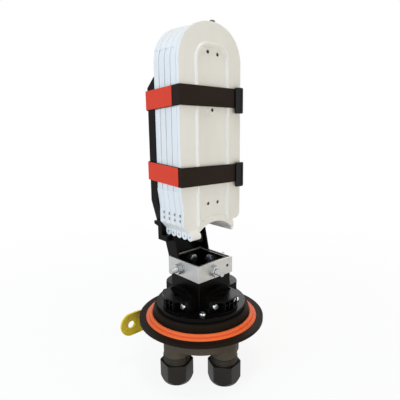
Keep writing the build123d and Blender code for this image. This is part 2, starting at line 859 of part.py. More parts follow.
# Splice trays, numbered from the front: open tubs with fibre guides
crown_reach = (arch_crown_radius**2 - (catch_x - stack_centre) ** 2) ** 0.5
catch_seat = arch_spring - crown_drop + crown_reach + catch_boss_rise
tray_fronts = [tray_front_first + index * tray_pitch for index in range(tray_count)]
for number, front in enumerate(tray_fronts, start=1):
    back = front + tray_depth
    floor_front = back - tray_floor
    hinge_y = (front + back) / 2
    with BuildPart() as tray:
        with BuildSketch(facing_front(back)):
            add(stack_outline())
        extrude(amount=tray_depth)
        with BuildSketch(facing_front(floor_front)) as cavity:
            add(cavity_outline(tray_wall))
            fillet(cavity.vertices().group_by(Axis.Y)[0], cavity_corner)
        extrude(amount=tray_depth, mode=Mode.SUBTRACT)
        with BuildSketch(facing_front(floor_front)):
            for rise in (guide_low_rise, guide_high_rise):
                with Locations((stack_centre, tower_top + rise)):
                    Circle(guide_radius)
                    Circle(guide_radius - guide_wall, mode=Mode.SUBTRACT)
                    Rectangle(2 * guide_radius, guide_radius, mode=Mode.SUBTRACT)
        extrude(amount=guide_height)
        knuckle(hinge_y, front, back)
        latch_windows(front)
        side_panels(back)
        if number == 1:
            with BuildSketch(Plane.XY.offset(catch_seat)):
                with Locations((catch_x, hinge_y)):
                    Circle(catch_boss_radius)
            extrude(amount=-catch_shank_length)
            with BuildSketch(Plane.XY.offset(catch_seat)):
                with Locations((catch_x, hinge_y)):
                    Circle(catch_shank_radius + hole_clearance)
            extrude(amount=-catch_shank_length, mode=Mode.SUBTRACT)
    save(tray, f"tray_{number}")

    with BuildPart() as splice_comb:
        rib_pitch = (comb_width - comb_rib) / (comb_rib_count - 1)
        with BuildSketch(facing_front(floor_front)):
            with Locations((stack_centre, tower_top + comb_rise)):
                Rectangle(comb_width, comb_length)
        extrude(amount=comb_base)
        with BuildSketch(facing_front(floor_front)):
            with Locations((stack_centre, tower_top + comb_rise)):
                with GridLocations(rib_pitch, 0, comb_rib_count, 1):
                    Rectangle(comb_rib, comb_length)
        extrude(amount=comb_height)
    save(splice_comb, f"splice_comb_{number}")

# Outline of the cover's ridge or panel, at an inset from the ridge's outer edge
def ridge_outline(inset, corner):
    low = tower_top + ridge_foot_rise
    with BuildSketch(mode=Mode.PRIVATE) as outline:
        with Locations((ridge_left + inset, low)):
            Rectangle(
                ridge_right - ridge_left - 2 * inset, tower_top + ridge_top_rise - inset - low, align=Align.MIN
            )
        fillet(outline.vertices().group_by(Axis.Y)[-1], corner)
    return outline.sketch


# Cover: a shallow lid over the front tray, with the arched ridge on its face
with BuildPart() as cover:
    with BuildSketch(facing_front(cover_back)):
        add(stack_outline())
    extrude(amount=cover_depth)
    with BuildSketch(facing_front(cover_back)) as cavity:
        add(cavity_outline(tray_wall))
        fillet(cavity.vertices().group_by(Axis.Y)[0], cavity_corner)
    extrude(amount=cover_depth - cover_skin, mode=Mode.SUBTRACT)
    with BuildSketch(facing_front(stack_front)):
        add(ridge_outline(0, ridge_corner))
        add(ridge_outline(ridge_width, ridge_corner - ridge_width), mode=Mode.SUBTRACT)
    extrude(amount=ridge_height)
    with BuildSketch(facing_front(stack_front)):
        with Locations((mouth_centre_x, tower_top + mouth_apex_rise - mouth_radius)):
            Circle(mouth_radius + rim_band)
            Circle(mouth_radius, mode=Mode.SUBTRACT)
        with Locations((knuckle_right, tower_top + hinge_rise)):
            Rectangle(foot_tab_outer - knuckle_right, mouth_radius, align=Align.MIN, mode=Mode.INTERSECT)
    extrude(amount=ridge_height)
    with BuildSketch(facing_front(stack_front)):
        add(ridge_outline(panel_inset, panel_corner))
        with Locations((mouth_centre_x, tower_top + mouth_apex_rise - mouth_radius)):
            Circle(mouth_radius + rim_band, mode=Mode.SUBTRACT)
    extrude(amount=-panel_depth, mode=Mode.SUBTRACT)
    with BuildSketch(facing_front(cover_back)):
        for x, rise in cover_hole_places:
            with Locations((x, tower_top + rise)):
                Circle(cover_hole_radius)
    extrude(amount=cover_depth, mode=Mode.SUBTRACT)
    knuckle(tray_front_first + tray_depth / 2 - tray_pitch, stack_front, cover_back)
save(cover, "cover")

# Catch screw on the crown of the front tray
with BuildPart() as catch_screw:
    catch_spot = Plane((catch_x, tray_front_first + tray_depth / 2, catch_seat))
    pan_screw(catch_spot, catch_shank_length, catch_shank_radius, catch_radius, catch_head)
save(catch_screw, "catch_screw")

# Hinge pins, one through each knuckle into the rack's rail
hinge_lines = [tray_front_first + tray_depth / 2 + (index - 1) * tray_pitch for index in range(tray_count + 1)]
with BuildPart() as hinge_pins:
    for y in hinge_lines:
        with BuildSketch(Plane.YZ.offset(knuckle_left + pin_inset)):
            with Locations((y, hinge_level)):
                Circle(pin_radius)
        extrude(amount=rail_right - knuckle_left - pin_inset)
save(hinge_pins, "hinge_pins")

# Hinge rack: block beside the mast, low bridge before it, and the rail that holds the pins
with BuildPart() as hinge_rack:
    rack_low = tower_top + rack_block_low_rise
    with BuildSketch(Plane.YZ.offset(rack_left)):
        with BuildLine():
            Polyline(
                (rack_front, rack_low),
                (rack_block_rear, rack_low),
                (rack_block_rear, tower_top + rack_shelf_low_rise),
                (rack_shelf_rear, tower_top + rack_shelf_rise),
                (rack_shelf_rear, tower_top + rack_block_rise),
                (rack_block_front, tower_top + rack_block_rise),
                (rack_block_front, tower_top + rack_front_rise),
                (rack_front, tower_top + rack_front_rise),
                (rack_front, rack_low),
            )
        make_face()
    extrude(amount=-mast_half_width - rack_left)
    with BuildSketch(Plane.YZ.offset(rack_bridge_left)):
        with Locations((rack_bridge_front, rack_low)):
            Rectangle(rack_bridge_depth, rack_front_rise - rack_block_low_rise, align=Align.MIN)
    extrude(amount=rail_right - rack_bridge_left)
    with BuildSketch(Plane.YZ.offset(rail_left)):
        with Locations((rack_rail_front, tower_top + rack_rail_low_rise)):
            Rectangle(
                rack_rail_rear - rack_rail_front, hinge_rise + rack_rail_cap - rack_rail_low_rise, align=Align.MIN
            )
    extrude(amount=rack_rail_width)
    with BuildSketch(Plane.YZ.offset(rail_left)):
        for y in hinge_lines:
            with Locations((y, hinge_level)):
                Circle(pin_radius + hole_clearance / 2)
    extrude(amount=rack_rail_width, mode=Mode.SUBTRACT)
    with BuildSketch(Plane.YZ.offset(-mast_half_width)):
        with Locations((rack_screw_y, tower_top + rack_screw_rise)):
            Circle(rack_screw_radius + hole_clearance)
    extrude(amount=-rack_screw_length, mode=Mode.SUBTRACT)
save(hinge_rack, "hinge_rack")

with BuildPart() as rack_screw:
    rack_seat = Plane(
        origin=(mast_wall - mast_half_width, rack_screw_y, tower_top + rack_screw_rise),
        x_dir=(0, 1, 0),
        z_dir=(1, 0, 0),
    )
    pan_screw(rack_seat, rack_screw_length, rack_screw_radius, plate_screw_head_radius, plate_screw_head_height)
save(rack_screw, "rack_screw")

# Back plate: channel behind the trays, its flanges cut on a slant at the top
with BuildPart() as back_plate:
    plate_low = tower_top + plate_foot_rise
    with BuildSketch(facing_front(plate_rear)):
        with BuildLine():
            Polyline(
                (stack_left, tower_top + plate_corner_rise),
                (stack_left + plate_corner_inset, plate_low),
                (plate_right - plate_corner_inset, plate_low),
                (plate_right, tower_top + plate_corner_rise),
                (plate_right, tower_top + plate_top_front_rise),
                (stack_left, tower_top + plate_top_front_rise),
                (stack_left, tower_top + plate_corner_rise),
            )
        make_face()
    extrude(amount=plate_depth)
    with BuildSketch(facing_front(plate_rear)):
        with BuildLine():
            Polyline(
                (stack_left + plate_flange, tower_top + plate_corner_rise),
                (stack_left + plate_corner_inset + plate_flange, plate_low - cut_overrun),
                (plate_right - plate_corner_inset - plate_flange, plate_low - cut_overrun),
                (plate_right - plate_flange, tower_top + plate_corner_rise),
                (plate_right - plate_flange, tower_top + plate_top_front_rise + cut_overrun),
                (stack_left + plate_flange, tower_top + plate_top_front_rise + cut_overrun),
                (stack_left + plate_flange, tower_top + plate_corner_rise),
            )
        make_face()
    extrude(amount=plate_depth - plate_web, mode=Mode.SUBTRACT)
    with BuildSketch(Plane.YZ.offset(stack_left - cut_overrun)):
        with BuildLine():
            Polyline(
                (plate_front, tower_top + plate_top_front_rise),
                (plate_rear, tower_top + plate_top_rear_rise),
                (plate_rear + cut_overrun, tower_top + plate_top_rear_rise),
                (plate_rear + cut_overrun, tower_top + plate_top_front_rise + cut_overrun),
                (plate_front, tower_top + plate_top_front_rise + cut_overrun),
                (plate_front, tower_top + plate_top_front_rise),
            )
        make_face()
    extrude(amount=plate_right - stack_left + 2 * cut_overrun, mode=Mode.SUBTRACT)
    with BuildSketch(facing_front(plate_web_rear)):
        with Locations((0, plate_screw_level)):
            with GridLocations(2 * plate_screw_x, plate_screw_pitch, 2, 2):
                Circle(rack_screw_radius + hole_clearance)
    extrude(amount=plate_web, mode=Mode.SUBTRACT)
save(back_plate, "back_plate")

with BuildPart() as plate_screws:
    for x in (-plate_screw_x, plate_screw_x):
        for level in (plate_screw_level - plate_screw_pitch / 2, plate_screw_level + plate_screw_pitch / 2):
            screw_seat = Plane(
                origin=(x, plate_web_rear + mast_wall, level), x_dir=(1, 0, 0), z_dir=(0, 1, 0)
            )
            pan_screw(
                screw_seat,
                plate_web + mast_wall,
                rack_screw_radius,
                plate_screw_head_radius,
                plate_screw_head_height,
            )
save(plate_screws, "plate_screws")

# Straps round the stack: closed bands, tilted as they are worn, with red tabs and buckles
strap_left = stack_left - seat_gap
strap_right = stack_right + seat_gap
strap_front = stack_front - ridge_height - seat_gap
strap_rear = plate_rear + seat_gap
strap_corners = (
    (strap_left, strap_front),
    (strap_right, strap_front),
    (strap_right, plate_front),
    (plate_right + seat_gap, strap_rear),
    (strap_left, strap_rear),
    (strap_left, strap_front),
)
strap_sets = (
    ("upper", strap_rise_upper, strap_lean_upper_shares, tab_front_upper, buckle_x_upper),
    ("lower", strap_rise_lower, strap_lean_lower_shares, tab_front_lower, buckle_x_lower),
)


def tilted_slab(rise, lean, width):
    lean_x, lean_y = lean
    band = Plane(origin=(0, 0, tower_top + rise), z_dir=(lean_x, lean_y, 1))
    slab_side = 4 * (strap_right - strap_left)
    with BuildSketch(band.offset(-width / 2), mode=Mode.PRIVATE) as slab_face:
        Rectangle(slab_side, slab_side)
    extrude(slab_face.sketch, amount=width, mode=Mode.INTERSECT)


def strap_level(rise, lean, x, y):
    return tower_top + rise - lean[0] * x - lean[1] * y


for name, rise, lean, tab_front, buckle_x in strap_sets:
    with BuildPart() as strap:
        with BuildSketch(Plane.XY.offset(tower_top + rise - strap_width)):
            with BuildLine():
                Polyline(*strap_corners)
            make_face()
            offset(amount=strap_thickness, kind=Kind.ARC)
            with BuildLine():
                Polyline(*strap_corners)
            make_face(mode=Mode.SUBTRACT)
        extrude(amount=2 * strap_width)
        tilted_slab(rise, lean, strap_width)
    save(strap, f"strap_{name}")

    with BuildPart() as strap_tab:
        with BuildSketch(Plane.XY.offset(tower_top + rise - strap_width)):
            with Locations((strap_left - strap_thickness - seat_gap, tab_front)):
                Rectangle(tab_thickness, tab_rear - tab_front, align=(Align.MAX, Align.MIN))
        extrude(amount=2 * strap_width)
        tilted_slab(rise, lean, tab_width)
    save(strap_tab, f"strap_tab_{name}")

    with BuildPart() as buckle:
        buckle_level = strap_level(rise, lean, buckle_x, stack_front) - buckle_drop
        with BuildSketch(facing_front(strap_front - strap_thickness - seat_gap)):
            with Locations((buckle_x, buckle_level)):
                RectangleRounded(buckle_width, buckle_height, buckle_round)
                Rectangle(buckle_width - 2 * buckle_bar, buckle_height - 2 * buckle_end_bar, mode=Mode.SUBTRACT)
        extrude(amount=buckle_thickness)
    save(buckle, f"buckle_{name}")

# Wall bracket: flat steel strip behind the bowl with a slotted ear at each end
bracket_rear = bracket_front + bracket_thickness
with BuildPart() as wall_bracket:
    with BuildSketch(facing_front(bracket_rear)):
        with Locations((0, flange_top - bracket_drop)):
            Rectangle(bracket_hole_spacing, 2 * bracket_ear_radius, align=(Align.CENTER, Align.MIN))
        with Locations((0, flange_top - bracket_drop + bracket_ear_radius)):
            with GridLocations(bracket_hole_spacing, 0, 2, 1):
                Circle(bracket_ear_radius)
                Circle(bracket_hole_radius, mode=Mode.SUBTRACT)
        with Locations((0, flange_bottom - seat_gap)):
            notch_half = (flange_radius**2 - bracket_front**2) ** 0.5 + seat_gap
            Rectangle(
                2 * notch_half, 2 * flange_thickness, align=(Align.CENTER, Align.MIN), mode=Mode.SUBTRACT
            )
        with Locations((0, flange_top - bracket_screw_drop)):
            with GridLocations(bracket_screw_pitch, 0, 2, 1):
                Circle(screw_shank_radius + hole_clearance, mode=Mode.SUBTRACT)
    extrude(amount=bracket_thickness)
save(wall_bracket, "wall_bracket")

with BuildPart() as bracket_screws:
    for x in (-bracket_screw_pitch / 2, bracket_screw_pitch / 2):
        bracket_seat = Plane(
            origin=(x, bracket_rear, flange_top - bracket_screw_drop), x_dir=(1, 0, 0), z_dir=(0, 1, 0)
        )
        pan_screw(bracket_seat, bracket_screw_length)
save(bracket_screws, "bracket_screws")
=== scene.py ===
import math

import bmesh
import bpy
from bpy.props import FloatProperty, FloatVectorProperty, IntProperty, PointerProperty
from mathutils import Matrix, Vector


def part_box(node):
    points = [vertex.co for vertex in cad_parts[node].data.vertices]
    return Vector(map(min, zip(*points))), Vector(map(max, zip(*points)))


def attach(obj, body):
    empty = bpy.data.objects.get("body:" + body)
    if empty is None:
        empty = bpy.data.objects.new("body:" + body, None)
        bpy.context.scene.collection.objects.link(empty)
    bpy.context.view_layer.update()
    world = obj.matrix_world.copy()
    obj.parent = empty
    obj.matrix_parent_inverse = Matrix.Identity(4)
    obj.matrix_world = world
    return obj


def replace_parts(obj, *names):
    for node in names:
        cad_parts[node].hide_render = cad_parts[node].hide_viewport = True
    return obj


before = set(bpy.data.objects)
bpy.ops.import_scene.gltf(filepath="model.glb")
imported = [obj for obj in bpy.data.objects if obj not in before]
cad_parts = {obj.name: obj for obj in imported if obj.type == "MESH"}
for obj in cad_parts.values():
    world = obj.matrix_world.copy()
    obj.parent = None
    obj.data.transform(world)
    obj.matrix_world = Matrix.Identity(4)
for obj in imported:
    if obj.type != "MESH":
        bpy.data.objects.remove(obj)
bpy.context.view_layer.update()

bl_info = {
    "name": "Opened splice closure",
    "version": (1, 0, 0),
    "blender": (4, 5, 0),
    "location": "View3D > Sidebar > Closure",
    "description": "Finishes and details for an opened fibre splice closure on its port base",
    "category": "Object",
}

MM = 0.001
# Distance within which points are welded
WELD = 0.002 * MM
# Angles in degrees: faces flatter than the first join, edges over the second are rounded, and edges over the
# third stay sharp
FLAT_DEGREES = 0.4
ROUND_DEGREES = 32
SHARP_DEGREES = 40
# Faces round a full turn of a screw or bolt, of a port thread and of a bolt's head
ROUND_STEPS = 24
THREAD_STEPS = 64
HEXAGON = 6
SIDES = ("front", "right", "rear", "left")
TRAYS = tuple(f"tray_{number}" for number in range(1, 5))
COMBS = tuple(f"splice_comb_{number}" for number in range(1, 5))

# Rounding of the edges in millimetres, where it isn't the general one
EDGES = {
    "base": 0.6,
    "ring": 0.5,
    "nut": 0.8,
    "angle": 0.4,
    "hardware": 0.3,
    "tray": 0.45,
    "buckle": 0.9,
    "bracket": 0.35,
}


def colour_property(name, description, default):
    return FloatVectorProperty(
        name=name, description=description, default=default, size=3, min=0, max=1, subtype="COLOR"
    )


def length_property(name, description, default):
    return FloatProperty(name=name, description=description, default=default, min=0, subtype="DISTANCE")


class ClosureColours(bpy.types.PropertyGroup):
    """Colours of the closure's plastics, rubber, metals and straps"""

    # Bowl and Base are one black-brown plastic: the bowl's colour holds painted light and the top's painted
    # shade
    bowl_painted_light: colour_property("Bowl", "Lower side of the moulded port base", (0.08, 0.063, 0.045))
    base: colour_property("Base", "Top of the moulded port base", (0.0125, 0.0082, 0.0052))
    black: colour_property("Black plastic", "Tower, clamps, mast and back plate", (0.0028, 0.0022, 0.0019))
    nut: colour_property("Gland nut", "Dark grey gland nuts", (0.019, 0.0148, 0.0115))
    ring: colour_property("Sealing ring", "Orange silicone ring", (0.82, 0.125, 0.016))
    tray: colour_property("Tray", "White trays and cover", (0.785, 0.77, 0.715))
    aluminium: colour_property("Aluminium", "Earth angles", (0.56, 0.55, 0.52))
    zinc: colour_property("Zinc", "Bright zinc hardware", (0.47, 0.475, 0.47))
    yellow: colour_property("Yellow zinc", "Wall bracket", (0.6, 0.47, 0.02))
    strap: colour_property("Strap", "Hook-and-loop strap", (0.0205, 0.0115, 0.0066))
    tab: colour_property("Strap end", "Red strap ends", (0.86, 0.064, 0.027))


class ClosureSizes(bpy.types.PropertyGroup):
    """Sizes of the details that the frame leaves to this file"""

    edge: length_property("Edge", "Rounding of moulded edges", 0.35 * MM)
    thread_pitch: length_property("Port thread", "Pitch of the port threads", 2.4 * MM)
    thread_depth: length_property("Thread depth", "Height of the port thread's crests", 0.95 * MM)
    thread_turns: IntProperty(name="Turns", description="Thread crests above each nut", default=5, min=1)
    stud_pitch: length_property("Stud thread", "Pitch of the bolts' threads", 1.25 * MM)
    strap_width: length_property("Strap width", "Width of the strap", 25 * MM)
    strap_thickness: length_property("Strap", "Thickness of the strap", 1.5 * MM)
    strap_corner: length_property("Strap corner", "Bend of the strap round the stack's corners", 1.6 * MM)


class Channel:
    """One output of a shader tree; arithmetic on it adds the Math nodes."""

    def __init__(self, finish, socket):
        self.finish = finish
        self.socket = socket

    def _math(self, operation, first, second):
        return self.finish.node("ShaderNodeMath", {0: first, 1: second}, operation=operation)

    def __add__(self, other):
        return self._math("ADD", self, other)

    __radd__ = __add__

    def __sub__(self, other):
        return self._math("SUBTRACT", self, other)

    def __mul__(self, other):
        return self._math("MULTIPLY", self, other)

    __rmul__ = __mul__

    def sine(self):
        return self._math("SINE", self, 0)

    def within(self, low, high):
        return self.finish.node(
            "ShaderNodeMapRange", {"Value": self, "From Min": low, "From Max": high}, clamp=True
        )


class Finish:
    """A material with one Principled shader, its patterns read from Object coordinates."""

    def __init__(self, name, **fixed):
        self.material = bpy.data.materials.new(name)
        self.material.use_nodes = True
        self.tree = self.material.node_tree
        self.tree.nodes.clear()
        self.shader = self.tree.nodes.new("ShaderNodeBsdfPrincipled")
        output = self.tree.nodes.new("ShaderNodeOutputMaterial")
        self.tree.links.new(self.shader.outputs[0], output.inputs[0])
        for socket, value in fixed.items():
            self.shader.inputs[socket.replace("_", " ")].default_value = value
        self.place = self.node("ShaderNodeTexCoord", {}, output="Object")

    def node(self, kind, inputs, output=0, stops=None, **settings):
        added = self.tree.nodes.new(kind)
        for name, value in settings.items():
            setattr(added, name, value)
        if stops:
            ramp = added.color_ramp
            while len(ramp.elements) < len(stops):
                ramp.elements.new(0.5)
            for element, (position, tint) in zip(ramp.elements, stops):
                element.position = position
                element.color = (*tint, 1)
        for name, value in inputs.items():
            self.feed(added.inputs[name], value)
        return Channel(self, added.outputs[output])

    def feed(self, socket, value):
        if isinstance(value, Channel):
            self.tree.links.new(value.socket, socket)
        elif hasattr(value, "__len__") and socket.type == "RGBA" and len(value) == 3:
            socket.default_value = (*value, 1)
        else:
            socket.default_value = value

    def linked(self, name):
        """What already feeds a socket of the shader."""
        return Channel(self, self.shader.inputs[name].links[0].from_socket)

    def drive(self, **inputs):
        for name, value in inputs.items():
            self.feed(self.shader.inputs[name.replace("_", " ")], value)
        return self

    def stretched(self, scale):
        return self.node("ShaderNodeMapping", {"Vector": self.place, "Scale": scale})

    def noise(self, scale, detail=4.0, roughness=0.55, place=None):
        return self.node(
            "ShaderNodeTexNoise",
            {"Vector": place or self.place, "Scale": scale, "Detail": detail, "Roughness": roughness},
        )

    def cells(self, scale):
        return self.node("ShaderNodeTexVoronoi", {"Vector": self.place, "Scale": scale})

    def axis(self, letter):
        return self.node("ShaderNodeSeparateXYZ", {0: self.place}, output=letter)

    def blend(self, share, first, second):
        node = self.tree.nodes.new("ShaderNodeMix")
        node.data_type = "RGBA"
        self.feed(node.inputs["Factor"], share)
        colours = [socket for socket in node.inputs if socket.type == "RGBA"]
        self.feed(colours[0], first)
        self.feed(colours[1], second)
        return Channel(self, [socket for socket in node.outputs if socket.type == "RGBA"][0])

    def bump(self, height, distance):
        inputs = {"Height": height, "Distance": distance, "Strength": 1.0}
        return self.drive(Normal=self.node("ShaderNodeBump", inputs, output="Normal"))


def shade(colour, factor):
    return tuple(min(1.0, channel * factor) for channel in colour)


def moulded_plastic(name, colour, rough=0.5, grain=0.02, spread=0.12, **fixed):
    """Moulded plastic: spark-eroded grain, soft cloudiness and faint handling marks."""
    finish = Finish(name, **fixed)
    cloud = finish.noise(38, 3)
    marks = finish.noise(190, 6, 0.7, finish.stretched((1, 1, 0.35)))
    grain_height = finish.noise(2600, 2)
    finish.drive(
        Base_Color=finish.blend(cloud.within(0.3, 0.7), shade(colour, 1 - spread), shade(colour, 1 + spread)),
        Roughness=rough - 0.08 + 0.16 * marks,
    )
    return finish.bump(grain_height + 0.5 * marks, grain * MM)


def tray_plastic(colours):
    """White tray plastic: satin skin with faint flow marks and specks of dust, slightly translucent."""
    finish = Finish("tray_plastic", IOR=1.49, Subsurface_Weight=0.06, Subsurface_Radius=(0.004, 0.004, 0.004))
    flow = finish.noise(26, 3, 0.5, finish.stretched((1, 1, 0.3)))
    specks = finish.noise(420, 4, 0.6)
    white = tuple(colours.tray)
    clean = finish.blend(flow.within(0.35, 0.65), shade(white, 0.965), shade(white, 1.02))
    finish.drive(
        Base_Color=finish.blend((specks - 0.62).within(0, 0.1) * 0.12, clean, (0.42, 0.38, 0.32)),
        Roughness=0.34 + 0.14 * specks,
    )
    return finish.bump(finish.noise(1500, 2) + 0.4 * flow, 0.012 * MM)


def silicone_rubber(name, colour):
    """Silicone: smooth, with a little dust that dulls it."""
    finish = Finish(name, Sheen_Weight=0.15, Sheen_Roughness=0.4, IOR=1.43)
    dust = finish.noise(330, 5, 0.65)
    finish.drive(
        Base_Color=finish.blend((dust - 0.55).within(0, 0.25) * 0.3, colour, shade(colour, 0.72)),
        Roughness=0.42 + 0.2 * dust,
    )
    return finish.bump(finish.noise(900, 3), 0.02 * MM)


def sawn_aluminium(colours):
    """Aluminium strip: mill finish with fine drawn lines along the strip and soft oxide clouds."""
    finish = Finish("angle_aluminium", Metallic=0.85)
    lines = finish.noise(60, 5, 0.6, finish.stretched((0.5, 0.5, 26)))
    cloud = finish.noise(70, 3)
    metal = tuple(colours.aluminium)
    finish.drive(
        Base_Color=finish.blend(cloud.within(0.3, 0.75), shade(metal, 0.9), shade(metal, 1.06)),
        Roughness=0.38 + 0.2 * lines,
    )
    return finish.bump(lines, 0.02 * MM)


def bright_zinc(colours):
    """Bright zinc: blotchy plating with fine scratches."""
    finish = Finish("zinc_steel", Metallic=1.0)
    blotch = finish.cells(520)
    scratch = finish.noise(800, 4, 0.7)
    metal = tuple(colours.zinc)
    finish.drive(
        Base_Color=finish.blend(blotch.within(0.1, 0.8), shade(metal, 0.88), shade(metal, 1.14)),
        Roughness=0.2 + 0.2 * scratch,
    )
    return finish.bump(scratch, 0.02 * MM)


def dark_zinc():
    """Darkened plating of the small catch screw."""
    finish = Finish("catch_steel", Metallic=1.0)
    blotch = finish.noise(700, 4)
    finish.drive(
        Base_Color=finish.blend(blotch, (0.07, 0.06, 0.05), (0.2, 0.18, 0.16)), Roughness=0.3 + 0.25 * blotch
    )
    return finish


def yellow_zinc(colours):
    """Yellow passivated zinc: olive and gold bands with paler and rosy tints."""
    finish = Finish("bracket_steel", Metallic=0.6)
    band = finish.noise(55, 4, 0.6, finish.stretched((1, 1, 0.5)))
    fine = finish.noise(300, 5, 0.7)
    gold = tuple(colours.yellow)
    olive = (gold[0] * 0.55, gold[1] * 0.62, gold[2] * 0.8)
    rose = (min(1, gold[0] * 1.1), gold[1] * 0.8, gold[2] * 5)
    tint = finish.node(
        "ShaderNodeValToRGB",
        {"Fac": band},
        stops=((0.3, olive), (0.48, gold), (0.6, shade(gold, 1.25)), (0.74, rose)),
    )
    finish.drive(Base_Color=tint, Roughness=0.36 + 0.22 * fine)
    return finish.bump(fine, 0.015 * MM)


# Rows of the straps' weave, as radians for each metre
WEAVE = 3900


def hook_and_loop(name, colour, fuzz):
    """Hook-and-loop band: a woven ground with rows of loops across it and paler worn fibres."""
    finish = Finish(name, Sheen_Weight=0.04, Sheen_Roughness=0.6, Roughness=0.95, Specular_IOR_Level=0.08)
    along = (finish.axis("X") + finish.axis("Y")) * WEAVE
    across = finish.axis("Z") * WEAVE
    weave = along.sine() * across.sine()
    loops = finish.noise(1500, 5, 0.75)
    fibre = (loops + 0.25 * weave).within(0.2, 0.9)
    finish.drive(
        Base_Color=finish.blend(fibre, shade(colour, 0.55), tuple(c * 1.35 + fuzz for c in colour)),
        Roughness=0.8 + 0.15 * loops,
    )
    return finish.bump(fibre, 0.35 * MM)


def mesh_piece(name, shape, finish, body, smooth=SHARP_DEGREES):
    """A finished piece at the origin, riding on a body, with smooth faces and sharp edges."""
    bmesh.ops.remove_doubles(shape, verts=shape.verts, dist=WELD)
    bmesh.ops.recalc_face_normals(shape, faces=shape.faces)
    for face in shape.faces:
        face.smooth = True
    for edge in shape.edges:
        edge.smooth = len(edge.link_faces) == 2 and edge.calc_face_angle(0) < math.radians(smooth)
    mesh = bpy.data.meshes.new(name)
    shape.to_mesh(mesh)
    shape.free()
    piece = bpy.data.objects.new(name, mesh)
    bpy.context.scene.collection.objects.link(piece)
    mesh.materials.append(finish.material)
    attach(piece, body)
    return piece


def soft_faces():
    """Node group that shades faces smooth and keeps the sharp edges."""
    name = "soft_faces"
    if name in bpy.data.node_groups:
        return bpy.data.node_groups[name]
    group = bpy.data.node_groups.new(name, "GeometryNodeTree")
    for direction in ("INPUT", "OUTPUT"):
        group.interface.new_socket("Geometry", in_out=direction, socket_type="NodeSocketGeometry")
    entry = group.nodes.new("NodeGroupInput")
    leave = group.nodes.new("NodeGroupOutput")
    faces = group.nodes.new("GeometryNodeSetShadeSmooth")
    edges = group.nodes.new("GeometryNodeSetShadeSmooth")
    edges.domain = "EDGE"
    angle = group.nodes.new("GeometryNodeInputMeshEdgeAngle")
    limit = group.nodes.new("FunctionNodeCompare")
    limit.operation = "LESS_THAN"
    limit.inputs[1].default_value = math.radians(SHARP_DEGREES)
    group.links.new(entry.outputs[0], faces.inputs[0])
    group.links.new(faces.outputs[0], edges.inputs[0])
    group.links.new(angle.outputs[0], limit.inputs[0])
    group.links.new(limit.outputs[0], edges.inputs["Shade Smooth"])
    group.links.new(edges.outputs[0], leave.inputs[0])
    return group


def dress(names, finish, edge=None):
    """Gives frame nodes their finish, with edges rounded by an entry of EDGES or by the general size."""
    width = EDGES[edge] * MM if edge else bpy.context.scene.closure_sizes.edge
    for name in names:
        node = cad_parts[name]
        node.data.materials.clear()
        node.data.materials.append(finish.material)
        weld = node.modifiers.new("weld", "WELD")
        weld.merge_threshold = WELD
        flat = node.modifiers.new("flat", "DECIMATE")
        flat.decimate_type = "DISSOLVE"
        flat.angle_limit = math.radians(FLAT_DEGREES)
        bevel = node.modifiers.new("edges", "BEVEL")
        bevel.width = width
        bevel.segments = 2
        bevel.limit_method = "ANGLE"
        bevel.angle_limit = math.radians(ROUND_DEGREES)
        bevel.use_clamp_overlap = True
        node.modifiers.new("soft", "NODES").node_group = soft_faces()
        weighted = node.modifiers.new("weighted", "WEIGHTED_NORMAL")
        weighted.keep_sharp = True


def middle(node):
    low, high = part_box(node)
    return (Vector(low) + Vector(high)) / 2


def lathe(shape, outline, place, steps):
    """Spins an outline of (radius, height) points a full turn about the vertical, then sets it at place."""
    before = set(shape.verts)
    verts = [shape.verts.new((radius, 0, height)) for radius, height in outline]
    edges = [shape.edges.new(pair) for pair in zip(verts, verts[1:])]
    bmesh.ops.spin(
        shape, geom=verts + edges, cent=(0, 0, 0), axis=(0, 0, 1), angle=math.tau, steps=steps, use_merge=True
    )
    spun = [vert for vert in shape.verts if vert not in before]
    bmesh.ops.transform(shape, matrix=place, verts=spun)
    return spun


def facing(point, direction, twist):
    """Matrix that sets a piece made along +Z at point, looking along direction."""
    look = Vector(direction).to_track_quat("Z", "Y").to_matrix().to_4x4()
    return Matrix.Translation(Vector(point) * MM) @ look @ Matrix.Rotation(math.radians(twist), 4, "Z")


def off_wall(side, along, level, distance, twist=0.0):
    """Place on one side of the tower: along the wall, at a level, looking outwards."""
    turn = Matrix.Rotation(math.radians(90 * SIDES.index(side)), 3, "Z")
    outward = turn @ Vector((0, -1, 0))
    spot = turn @ Vector((along, 0, 0)) + outward * distance + Vector((0, 0, level))
    return facing(spot, outward, twist)


# Pan head's outline as (share of its radius, share of its height)
PAN_HEAD = ((0.6, 1), (0.84, 0.86), (0.96, 0.55), (1, 0.15), (1, 0))
# Cross recess: arms' reach and the pick of their faces as shares of the head's radius, depth as a share of
# its height, and what is left of its width at the floor
RECESS_REACH = 0.4
RECESS_PICK = 0.08
RECESS_DEPTH = 0.6
RECESS_FLOOR = 0.72
LEVEL_TOLERANCE = 0.001 * MM


def round_corners(shape, points, radius, steps):
    """Rounds a flat shape's corners at some of its points."""
    bmesh.ops.bevel(
        shape,
        geom=points,
        offset=radius,
        offset_type="OFFSET",
        segments=steps,
        profile=0.5,
        affect="VERTICES",
        material=-1,
    )


